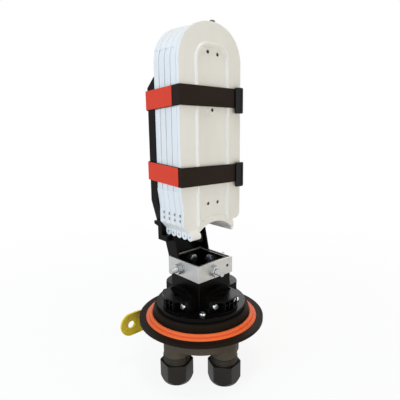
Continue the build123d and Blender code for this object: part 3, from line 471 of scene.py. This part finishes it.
def screw_head(shape, place, radius, height, shank, length):
    """Pan head with a cross recess, on its shank."""
    outline = [(out * radius, up * height) for out, up in PAN_HEAD]
    outline += [(shank, 0), (shank, -length), (0, -length)]
    turned = lathe(shape, outline, Matrix(), ROUND_STEPS)
    grid = bmesh.ops.create_grid(shape, x_segments=3, y_segments=3, size=RECESS_REACH * radius)["verts"]
    bmesh.ops.translate(shape, verts=grid, vec=(0, 0, height))
    crown = {face for vert in grid for face in vert.link_faces}
    cross = [face for face in crown if min(map(abs, face.calc_center_median()[:2])) < RECESS_PICK * radius]
    rim = [
        edge
        for edge in shape.edges
        if edge.is_boundary and all(abs(vert.co.z - height) < LEVEL_TOLERANCE for vert in edge.verts)
    ]
    bmesh.ops.bridge_loops(shape, edges=rim)
    dug = bmesh.ops.extrude_face_region(shape, geom=cross)["geom"]
    floor = [item for item in dug if isinstance(item, bmesh.types.BMVert)]
    bmesh.ops.translate(shape, verts=floor, vec=(0, 0, -RECESS_DEPTH * height))
    bmesh.ops.scale(shape, verts=floor, vec=(RECESS_FLOOR, RECESS_FLOOR, 1))
    bmesh.ops.delete(shape, geom=[face for face in cross if face.is_valid], context="FACES_ONLY")
    bmesh.ops.transform(shape, matrix=place, verts=list({*turned, *grid, *floor}))


# Heights over the base's lowest point, in millimetres, between which its colour turns from painted light to
# shade
# The lighter lower bowl is painted light, and the darker top is painted shade
PAINTED_SHADE_HEIGHTS = (26.0, 29.0)
# Port thread: share of the bowl's colour, how deep its root is sunk in millimetres, where the first crest
# starts over the nut's top as a share of the pitch, and a crest's section as (share of the pitch, raised)
THREAD_SHADE = 0.34
THREAD_ROOT = 0.2
THREAD_START = -0.8
THREAD_SECTION = ((0.0, False), (0.3, True), (0.5, True), (0.8, False))


class CLOSURE_OT_base(bpy.types.Operator):
    """Finish the port base and add the thread crests above its gland nuts"""

    bl_idname = "closure.base"
    bl_label = "Port base"

    def execute(self, context):
        colours, sizes = context.scene.closure_colours, context.scene.closure_sizes
        finish = moulded_plastic("base_plastic", tuple(colours.bowl_painted_light), 0.5, 0.03, Specular_IOR_Level=0.04)
        # Painted shade: the top of the base is coloured darker than the lower bowl, as light and shade fall
        # on it
        low, high = (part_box("base")[0][2] + height * MM for height in PAINTED_SHADE_HEIGHTS)
        share = finish.axis("Z").within(low, high)
        finish.drive(Base_Color=finish.blend(share, finish.linked("Base Color"), tuple(colours.base)))
        dress(["base", *(f"port_{side}" for side in SIDES)], finish, "base")
        tone = shade(colours.bowl_painted_light, THREAD_SHADE)
        thread = moulded_plastic("port_thread", tone, 0.42, 0.03, Specular_IOR_Level=0.3)
        nut_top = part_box("gland_nut_front")[1][2]
        low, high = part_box("port_front")
        port_radius = (high[0] - low[0]) / 2
        root, crest = port_radius - THREAD_ROOT * MM, port_radius + sizes.thread_depth
        outline = [
            (crest if raised else root, nut_top + (turn + THREAD_START + share) * sizes.thread_pitch)
            for turn in range(sizes.thread_turns)
            for share, raised in THREAD_SECTION
        ]
        for side in SIDES:
            shape = bmesh.new()
            centre = middle(f"port_{side}")
            lathe(shape, outline, Matrix.Translation((centre[0], centre[1], 0)), THREAD_STEPS)
            mesh_piece(f"port_thread_{side}", shape, thread, "closure", smooth=30)
        return {"FINISHED"}


class CLOSURE_OT_ring(bpy.types.Operator):
    """Finish the orange sealing ring"""

    bl_idname = "closure.ring"
    bl_label = "Sealing ring"

    def execute(self, context):
        rubber = silicone_rubber("ring_rubber", tuple(context.scene.closure_colours.ring))
        dress(["seal_ring"], rubber, "ring")
        return {"FINISHED"}


# Colours of the thrust rings and splice combs, and of the rubber seals, which no side shows
HIDDEN_GREY = (0.3, 0.3, 0.3)
SEAL_BLACK = (0.02, 0.02, 0.02)


class CLOSURE_OT_glands(bpy.types.Operator):
    """Finish the gland nuts, thrust rings and rubber seals"""

    bl_idname = "closure.glands"
    bl_label = "Glands"

    def execute(self, context):
        colours = context.scene.closure_colours
        nut = moulded_plastic("nut_plastic", tuple(colours.nut), 0.36, Specular_IOR_Level=0.15)
        dress([f"gland_nut_{side}" for side in SIDES], nut, "nut")
        dress([f"thrust_ring_{side}" for side in SIDES], moulded_plastic("thrust_plastic", HIDDEN_GREY))
        dress([f"gland_seal_{side}" for side in SIDES], silicone_rubber("seal_rubber", SEAL_BLACK))
        return {"FINISHED"}


class CLOSURE_OT_tower(bpy.types.Operator):
    """Finish the riser tower, cable clamps, mast, hinge rack and back plate"""

    bl_idname = "closure.tower"
    bl_label = "Tower and mast"

    def execute(self, context):
        colour = tuple(context.scene.closure_colours.black)
        black = moulded_plastic("black_plastic", colour, 0.26, 0.02, 0.2, Specular_IOR_Level=0.07)
        clamps = [f"clamp_{half}_{side}" for half in ("inner", "outer") for side in SIDES]
        dress(["tower_foot", "tower", "mast", "hinge_rack", "back_plate", *clamps], black)
        return {"FINISHED"}


# Screws by node, in millimetres: (head radius, head height, shank radius, shank length), and each one's
# (point, direction)
SCREWS = {
    "foot_screws": (
        (4.8, 3.4, 2.4, 18),
        [((x, y, 106), (0, 0, 1)) for x in (-32.5, 32.5) for y in (-39.5, 39.5)],
    ),
    "rack_screw": ((3.8, 2.6, 2, 12), [((-27, 30, 201.2), (1, 0, 0))]),
    "plate_screws": (
        (3.8, 2.6, 2, 5.5),
        [((x, 32.4, z), (0, 1, 0)) for x in (-14, 14) for z in (231.5, 249.5)],
    ),
    "bracket_screws": ((4.8, 3.4, 2.4, 12), [((x, 68.8, 63), (0, 1, 0)) for x in (-22, 22)]),
    "catch_screw": ((4.2, 4.8, 1.5, 5), [((13.6, -13.1, 480.863), (0, 0, 1))]),
}
# Turn of a node's first screw about itself in degrees, and how much further each next one is turned
SCREW_TURN = 25
SCREW_TURN_STEP = 31
# Clamp screws in millimetres: sizes as above, level, seat's distance from the axis, and places along a side
CLAMP_SCREW = (4.8, 3.4, 2.4, 20)
CLAMP_SCREW_LEVEL = 115.2
CLAMP_SCREW_SEAT = 46.9
CLAMP_SCREW_ALONG = (-17, 17)
# Their turn about themselves, in degrees for each millimetre along the side
CLAMP_SCREW_TURN = 3.1
# Bolts in millimetres: level, place along each side, seat's distance from the axis, head's outline as
# (radius, height), and the shank's radii and its lengths from the seat
BOLT_LEVEL = 159.5
BOLT_ALONG = {"front": -6.0, "right": 4.5, "rear": -6.0, "left": -4.5}
BOLT_SEAT = 25.0
BOLT_HEAD = ((0, -5.3), (6.4, -5.3), (7.5, -4.8), (7.5, 0), (0, 0))
BOLT_RADIUS = 4.0
BOLT_ROOT_RADIUS = 3.45
BOLT_TIP_RADIUS = 3.3
BOLT_PLAIN = 6.8
BOLT_THREAD_END = 24.4
BOLT_LENGTH = 25.7
# Bolt thread's root and start of its crest, as shares of the pitch
BOLT_THREAD = (0.45, 0.9)


class CLOSURE_OT_hardware(bpy.types.Operator):
    """Make the bolts and screws, and finish the earth angles, washers, nuts and pins"""

    bl_idname = "closure.hardware"
    bl_label = "Hardware"

    def screws(self, name, finish, slot, measures, places):
        shape = bmesh.new()
        for place in places:
            screw_head(shape, place, *(value * MM for value in measures))
        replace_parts(mesh_piece(f"{name}_cross", shape, finish, "closure", smooth=35), name)

    def bolts(self, finish, pitch):
        """Hexagon bolts from inside the tower, threaded beyond the earth angles."""
        shape = bmesh.new()
        radius, root = BOLT_RADIUS * MM, BOLT_ROOT_RADIUS * MM
        valley, crest = (share * pitch for share in BOLT_THREAD)
        level = BOLT_PLAIN * MM
        shank = [(0, 0), (radius, 0), (radius, level)]
        while level < BOLT_THREAD_END * MM:
            shank += [(root, level + valley), (radius, level + crest), (radius, level + pitch)]
            level += pitch
        shank += [(BOLT_TIP_RADIUS * MM, BOLT_LENGTH * MM), (0, BOLT_LENGTH * MM)]
        for side in SIDES:
            place = off_wall(side, BOLT_ALONG[side], BOLT_LEVEL, BOLT_SEAT)
            lathe(shape, [(out * MM, height * MM) for out, height in BOLT_HEAD], place, HEXAGON)
            lathe(shape, shank, place, ROUND_STEPS)
        piece = mesh_piece("angle_bolts_threaded", shape, finish, "closure", smooth=30)
        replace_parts(piece, "angle_bolts")

    def execute(self, context):
        colours, sizes = context.scene.closure_colours, context.scene.closure_sizes
        zinc = bright_zinc(colours)
        dress(["earth_angle_front", "earth_angle_rear"], sawn_aluminium(colours), "angle")
        dress(["angle_washers", "angle_nuts", "hinge_pins"], zinc, "hardware")
        self.bolts(zinc, sizes.stud_pitch)
        dark = dark_zinc()
        for name, (measures, spots) in SCREWS.items():
            finish, slot = (dark, "catch_steel") if name == "catch_screw" else (zinc, "zinc_steel")
            places = [
                facing(point, look, SCREW_TURN + SCREW_TURN_STEP * number)
                for number, (point, look) in enumerate(spots)
            ]
            self.screws(name, finish, slot, measures, places)
        places = [
            off_wall(side, along, CLAMP_SCREW_LEVEL, CLAMP_SCREW_SEAT, CLAMP_SCREW_TURN * along)
            for side in SIDES
            for along in CLAMP_SCREW_ALONG
        ]
        self.screws("clamp_screws", zinc, "zinc_steel", CLAMP_SCREW, places)
        return {"FINISHED"}


# Ridge on the cover in millimetres: its middle line's left and right sides, top, foot and corner radius, and
# the level of the cover's face
RIDGE = {"left": -23.2, "right": 31.0, "top": 453.4, "foot": 224.0, "corner": 18.0, "face": -24.0}
# Half of its cross-section as (way out from the middle line, height over the cover's face)
RIDGE_FLANK = ((3.3, -0.3), (3.0, 0.2), (2.0, 1.9), (1.5, 2.2), (0.5, 2.3))
RIDGE_CORNER_STEPS = 10


class CLOSURE_OT_trays(bpy.types.Operator):
    """Finish the splice trays, their combs and the front cover"""

    bl_idname = "closure.trays"
    bl_label = "Trays and cover"

    def ridge(self, finish):
        """Raised ridge with sloped flanks: up the left side, over the top and down the right side."""
        left, right, top, foot, corner, face = (value * MM for value in RIDGE.values())
        flanks = [(-out, rise) for out, rise in RIDGE_FLANK] + list(reversed(RIDGE_FLANK))
        shape = bmesh.new()
        row = [shape.verts.new((left + out * MM, face - rise * MM, foot)) for out, rise in flanks]
        row += [shape.edges.new(pair) for pair in zip(row, row[1:])]
        height, width = top - corner - foot, right - left - 2 * corner
        turns = (Vector((left + corner, 0, top - corner)), Vector((right - corner, 0, top - corner)))
        legs = (
            (Vector((0, 0, height)), 0, turns[0], 1),
            (Vector(), math.pi / 2, turns[0], RIDGE_CORNER_STEPS),
            (Vector((width, 0, 0)), 0, turns[1], 1),
            (Vector(), math.pi / 2, turns[1], RIDGE_CORNER_STEPS),
            (Vector((0, 0, -height)), 0, turns[1], 1),
        )
        for way, angle, centre, steps in legs:
            row = bmesh.ops.spin(
                shape,
                geom=row,
                cent=centre,
                axis=(0, 1, 0),
                dvec=way,
                angle=angle,
                steps=steps,
                use_duplicate=False,
            )["geom_last"]
        mesh_piece("cover_ridge", shape, finish, "closure", smooth=50)

    def execute(self, context):
        white = tray_plastic(context.scene.closure_colours)
        dress([*TRAYS, "cover"], white, "tray")
        self.ridge(white)
        dress(COMBS, moulded_plastic("comb_plastic", HIDDEN_GREY))
        return {"FINISHED"}


# Strap by name: level of its middle plane at the axis in millimetres, and its lean along X and Y
STRAPS = {"upper": (388.1, 0.034, 0.083), "lower": (291.4, 0.026, -0.06)}
# Strap in millimetres: its middle plane from its outer face, and its gap off the stack's edges
STRAP_HALF = 0.8
STRAP_GAP = 0.3
STRAP_BEND_STEPS = 5
# Rounding of the strap's rim as a share of its thickness, and the angle over which its edges stay sharp
STRAP_RIM = 0.25
STRAP_SHARP_DEGREES = 60
# Red end's width and corner radius in millimetres
STRAP_END_WIDTH = 24.0
STRAP_END_CORNER = 2.0
STRAP_END_CORNER_STEPS = 6
BUCKLE_BLACK = (0.004, 0.004, 0.004)
# Buckle's bar: shares of the buckle's size along X and Y, and in millimetres how much shorter it is and how
# round its edges are
BAR_SHARE = (0.62, 0.5)
BAR_SHORTER = 3.0
BAR_ROUND = 0.5


class CLOSURE_OT_straps(bpy.types.Operator):
    """Lay the straps and their red ends round the stack, and finish the buckles"""

    bl_idname = "closure.straps"
    bl_label = "Straps"

    def leaned(self, shape, level, lean_x, lean_y):
        """Slopes a level band as the strap is worn, and lifts it to its level."""
        slope = Matrix(((1, 0, 0, 0), (0, 1, 0, 0), (-lean_x, -lean_y, 1, level * MM), (0, 0, 0, 1)))
        bmesh.ops.transform(shape, matrix=slope, verts=shape.verts)

    def cloth(self, name, shape, finish, slot, thickness):
        """Thickens a sheet to both sides and rounds its rim."""
        piece = mesh_piece(name, shape, finish, "closure", smooth=STRAP_SHARP_DEGREES)
        solid = piece.modifiers.new("thickness", "SOLIDIFY")
        solid.thickness = thickness
        solid.offset = 0
        rim = piece.modifiers.new("rim", "BEVEL")
        rim.width = STRAP_RIM * thickness
        rim.segments = 2
        rim.angle_limit = math.radians(STRAP_SHARP_DEGREES)
        return piece

    def band(self, name, finish, sizes):
        """Strap round the stack, from the cover to the back plate."""
        node = f"strap_{name}"
        low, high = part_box(node)
        half = STRAP_HALF * MM
        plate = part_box("back_plate")[1][0] + STRAP_GAP * MM + half
        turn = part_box("tray_4")[1][1] + STRAP_GAP * MM
        corners = (
            (low[0] + half, low[1] + half),
            (high[0] - half, low[1] + half),
            (high[0] - half, turn),
            (plate, high[1] - half),
            (low[0] + half, high[1] - half),
        )
        shape = bmesh.new()
        loop = [shape.verts.new((x, y, -sizes.strap_width / 2)) for x, y in corners]
        shape.faces.new(loop)
        round_corners(shape, loop, sizes.strap_corner, STRAP_BEND_STEPS)
        bmesh.ops.delete(shape, geom=list(shape.faces), context="FACES_ONLY")
        made = bmesh.ops.extrude_edge_only(shape, edges=list(shape.edges))["geom"]
        raised = [item for item in made if isinstance(item, bmesh.types.BMVert)]
        bmesh.ops.translate(shape, verts=raised, vec=(0, 0, sizes.strap_width))
        self.leaned(shape, *STRAPS[name])
        piece = self.cloth(f"{node}_band", shape, finish, "strap_fabric", sizes.strap_thickness)
        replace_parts(piece, node)

    def end(self, name, finish):
        """Red end of the strap, laid on it."""
        node = f"strap_tab_{name}"
        low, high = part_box(node)
        width = STRAP_END_WIDTH * MM
        shape = bmesh.new()
        corners = ((low[1], -width / 2), (high[1], -width / 2), (high[1], width / 2), (low[1], width / 2))
        loop = [shape.verts.new(((low[0] + high[0]) / 2, y, z)) for y, z in corners]
        shape.faces.new(loop)
        round_corners(shape, [loop[0], loop[3]], STRAP_END_CORNER * MM, STRAP_END_CORNER_STEPS)
        self.leaned(shape, *STRAPS[name])
        piece = self.cloth(f"{node}_end", shape, finish, "tab_fabric", high[0] - low[0])
        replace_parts(piece, node)

    def bar(self, name, finish):
        """Bar that closes the buckle's window, as the strap turned back through it does."""
        low, high = (Vector(corner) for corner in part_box(f"buckle_{name}"))
        shape = bmesh.new()
        bmesh.ops.create_cube(shape, size=1)
        span = high - low
        size = (BAR_SHARE[0] * span.x, BAR_SHARE[1] * span.y, span.z - BAR_SHORTER * MM)
        bmesh.ops.scale(shape, verts=shape.verts, vec=size)
        bmesh.ops.translate(shape, verts=shape.verts, vec=(low + high) / 2)
        edges = list(shape.edges)
        bmesh.ops.bevel(shape, geom=edges, offset=BAR_ROUND * MM, segments=2, profile=0.5, affect="EDGES")
        mesh_piece(f"buckle_bar_{name}", shape, finish, "closure")

    def execute(self, context):
        colours, sizes = context.scene.closure_colours, context.scene.closure_sizes
        black = hook_and_loop("strap_fabric", tuple(colours.strap), fuzz=0.004)
        red = hook_and_loop("tab_fabric", tuple(colours.tab), fuzz=0.01)
        for name in STRAPS:
            self.band(name, black, sizes)
            self.end(name, red)
        buckle = moulded_plastic("buckle_plastic", BUCKLE_BLACK, 0.35, Specular_IOR_Level=0.2)
        dress([f"buckle_{name}" for name in STRAPS], buckle, "buckle")
        for name in STRAPS:
            self.bar(name, buckle)
        return {"FINISHED"}


class CLOSURE_OT_bracket(bpy.types.Operator):
    """Finish the yellow wall bracket"""

    bl_idname = "closure.bracket"
    bl_label = "Wall bracket"

    def execute(self, context):
        dress(["wall_bracket"], yellow_zinc(context.scene.closure_colours), "bracket")
        return {"FINISHED"}


# Camera fitted to the photo: place in millimetres, angles in degrees, focal length in the photo's pixels
CAMERA_PLACE = Vector((-362.516, -407.718, 363.604)) * MM
CAMERA_AZIMUTH = math.radians(-41.70)
CAMERA_DOWN = math.radians(11.53)
CAMERA_ROLL = math.radians(-0.76)
CAMERA_FOCAL_PIXELS = 400.57
PHOTO_PIXELS = 400.0
SENSOR_WIDTH = 36.0
NEAR_CLIP = 10 * MM
# Floor: half its width and its level in metres, and its grey
FLOOR_REACH = 6.0
FLOOR_LEVEL = -0.2 * MM
FLOOR_GREY = (0.9, 0.9, 0.9)
# Floor's share of plain white: near and far distance in metres, and the share at each
FLOOR_FADE = (0.12, 0.9, 0.88, 1.0)
WHITE = (1, 1, 1)
WORLD_TINT = (1.0, 0.985, 0.96)
WORLD_STRENGTH = 0.42
# Lamps by name: power in watts, size, place and target in metres, and tint
LAMPS = {
    "window": (10.3, 0.6, (-1.25, -0.05, 0.7), (0, 0, 0.25), (0.53, 0.72, 1.0)),
    "room": (6.4, 0.8, (-0.15, -1.2, 0.1), (0, 0, 0.2), (1.0, 0.92, 0.78)),
    "ceiling": (5.0, 0.35, (-0.1, -0.3, 1.55), (0, 0, 0.3), (1.0, 0.99, 0.96)),
    "rim": (3.0, 0.6, (0.9, 0.7, 0.8), (0, 0, 0.3), (1.0, 1.0, 1.0)),
}


def area_light(name, energy, size, place, target, tint):
    lamp = bpy.data.lights.new(name, "AREA")
    lamp.energy = energy
    lamp.size = size
    lamp.color = tint
    light = bpy.data.objects.new(name, lamp)
    light.location = place
    light.rotation_euler = (Vector(target) - Vector(place)).to_track_quat("-Z", "Y").to_euler()
    bpy.context.scene.collection.objects.link(light)


def background_share(tree):
    """Factor that is one for camera, glossy and transmission rays, which all see the white background."""
    path = tree.nodes.new("ShaderNodeLightPath")
    total = path.outputs["Is Camera Ray"]
    for name in ("Is Glossy Ray", "Is Transmission Ray"):
        added = tree.nodes.new("ShaderNodeMath")
        added.operation = "MAXIMUM"
        tree.links.new(total, added.inputs[0])
        tree.links.new(path.outputs[name], added.inputs[1])
        total = added.outputs[0]
    return total


class CLOSURE_OT_stage(bpy.types.Operator):
    """Set the pale floor, the soft lights, the world and the camera"""

    bl_idname = "closure.stage"
    bl_label = "Stage"

    def lay_floor(self, scene):
        """Pale floor that takes the shadow, and that fades to white with the distance."""
        shape = bmesh.new()
        bmesh.ops.create_grid(shape, x_segments=1, y_segments=1, size=FLOOR_REACH)
        bmesh.ops.translate(shape, verts=shape.verts, vec=(0, 0, FLOOR_LEVEL))
        mesh = bpy.data.meshes.new("floor")
        shape.to_mesh(mesh)
        shape.free()
        floor = bpy.data.objects.new("floor", mesh)
        scene.collection.objects.link(floor)
        paper = bpy.data.materials.new("floor_paper")
        paper.use_nodes = True
        tree = paper.node_tree
        tree.nodes.clear()
        output = tree.nodes.new("ShaderNodeOutputMaterial")
        mix = tree.nodes.new("ShaderNodeMixShader")
        plain = tree.nodes.new("ShaderNodeBsdfDiffuse")
        plain.inputs["Color"].default_value = (*FLOOR_GREY, 1)
        glow = tree.nodes.new("ShaderNodeEmission")
        glow.inputs["Color"].default_value = (*WHITE, 1)
        place = tree.nodes.new("ShaderNodeTexCoord")
        reach = tree.nodes.new("ShaderNodeVectorMath")
        reach.operation = "LENGTH"
        fade = tree.nodes.new("ShaderNodeMapRange")
        for name, value in zip(("From Min", "From Max", "To Min", "To Max"), FLOOR_FADE):
            fade.inputs[name].default_value = value
        share = tree.nodes.new("ShaderNodeMath")
        share.operation = "MULTIPLY"
        tree.links.new(place.outputs["Object"], reach.inputs[0])
        tree.links.new(reach.outputs["Value"], fade.inputs["Value"])
        tree.links.new(fade.outputs[0], share.inputs[0])
        tree.links.new(background_share(tree), share.inputs[1])
        tree.links.new(share.outputs[0], mix.inputs[0])
        tree.links.new(plain.outputs[0], mix.inputs[1])
        tree.links.new(glow.outputs[0], mix.inputs[2])
        tree.links.new(mix.outputs[0], output.inputs[0])
        mesh.materials.append(paper)

    def light_world(self, scene):
        """White background to look at, with a softer, warmer light on the part."""
        world = scene.world or bpy.data.worlds.new("studio")
        scene.world = world
        world.use_nodes = True
        tree = world.node_tree
        tree.nodes.clear()
        output = tree.nodes.new("ShaderNodeOutputWorld")
        mix = tree.nodes.new("ShaderNodeMixShader")
        tree.links.new(background_share(tree), mix.inputs[0])
        for place, (tint, strength) in enumerate(((WORLD_TINT, WORLD_STRENGTH), (WHITE, 1.0)), 1):
            sky = tree.nodes.new("ShaderNodeBackground")
            sky.inputs["Color"].default_value = (*tint, 1)
            sky.inputs["Strength"].default_value = strength
            tree.links.new(sky.outputs[0], mix.inputs[place])
        tree.links.new(mix.outputs[0], output.inputs[0])

    def place_camera(self, scene):
        """Camera of the photo."""
        forward = Vector(
            (
                -math.sin(CAMERA_AZIMUTH) * math.cos(CAMERA_DOWN),
                math.cos(CAMERA_AZIMUTH) * math.cos(CAMERA_DOWN),
                -math.sin(CAMERA_DOWN),
            )
        )
        level = Vector((math.cos(CAMERA_AZIMUTH), math.sin(CAMERA_AZIMUTH), 0))
        upward = level.cross(forward)
        right = math.cos(CAMERA_ROLL) * level + math.sin(CAMERA_ROLL) * upward
        up = -math.sin(CAMERA_ROLL) * level + math.cos(CAMERA_ROLL) * upward
        lens = bpy.data.cameras.new("camera")
        lens.sensor_width = SENSOR_WIDTH
        lens.lens = SENSOR_WIDTH * CAMERA_FOCAL_PIXELS / PHOTO_PIXELS
        lens.clip_start = NEAR_CLIP
        camera = bpy.data.objects.new("camera", lens)
        turn = Matrix((right, up, -forward)).transposed().to_4x4()
        camera.matrix_world = Matrix.Translation(CAMERA_PLACE) @ turn
        scene.collection.objects.link(camera)
        scene.camera = camera

    def execute(self, context):
        scene = context.scene
        self.lay_floor(scene)
        self.light_world(scene)
        for name, values in LAMPS.items():
            area_light(name, *values)
        self.place_camera(scene)
        scene.view_settings.view_transform = "Standard"
        return {"FINISHED"}


OPERATORS = (
    CLOSURE_OT_base,
    CLOSURE_OT_ring,
    CLOSURE_OT_glands,
    CLOSURE_OT_tower,
    CLOSURE_OT_hardware,
    CLOSURE_OT_trays,
    CLOSURE_OT_straps,
    CLOSURE_OT_bracket,
    CLOSURE_OT_stage,
)


class CLOSURE_PT_panel(bpy.types.Panel):
    """Colours, sizes and steps of the closure"""

    bl_idname = "CLOSURE_PT_panel"
    bl_label = "Splice closure"
    bl_space_type = "VIEW_3D"
    bl_region_type = "UI"
    bl_category = "Closure"

    def draw(self, context):
        for group in (context.scene.closure_colours, context.scene.closure_sizes):
            for name in group.__annotations__:
                self.layout.prop(group, name)
        for step in OPERATORS:
            self.layout.operator(step.bl_idname)


CLASSES = (ClosureColours, ClosureSizes, *OPERATORS, CLOSURE_PT_panel)


def register():
    for item in CLASSES:
        bpy.utils.register_class(item)
    bpy.types.Scene.closure_colours = PointerProperty(type=ClosureColours)
    bpy.types.Scene.closure_sizes = PointerProperty(type=ClosureSizes)


def unregister():
    del bpy.types.Scene.closure_sizes
    del bpy.types.Scene.closure_colours
    for item in reversed(CLASSES):
        bpy.utils.unregister_class(item)


def main():
    register()
    for step in OPERATORS:
        category, name = step.bl_idname.split(".")
        getattr(getattr(bpy.ops, category), name)()
    bpy.context.view_layer.update()


if __name__ == "__main__":
    main()
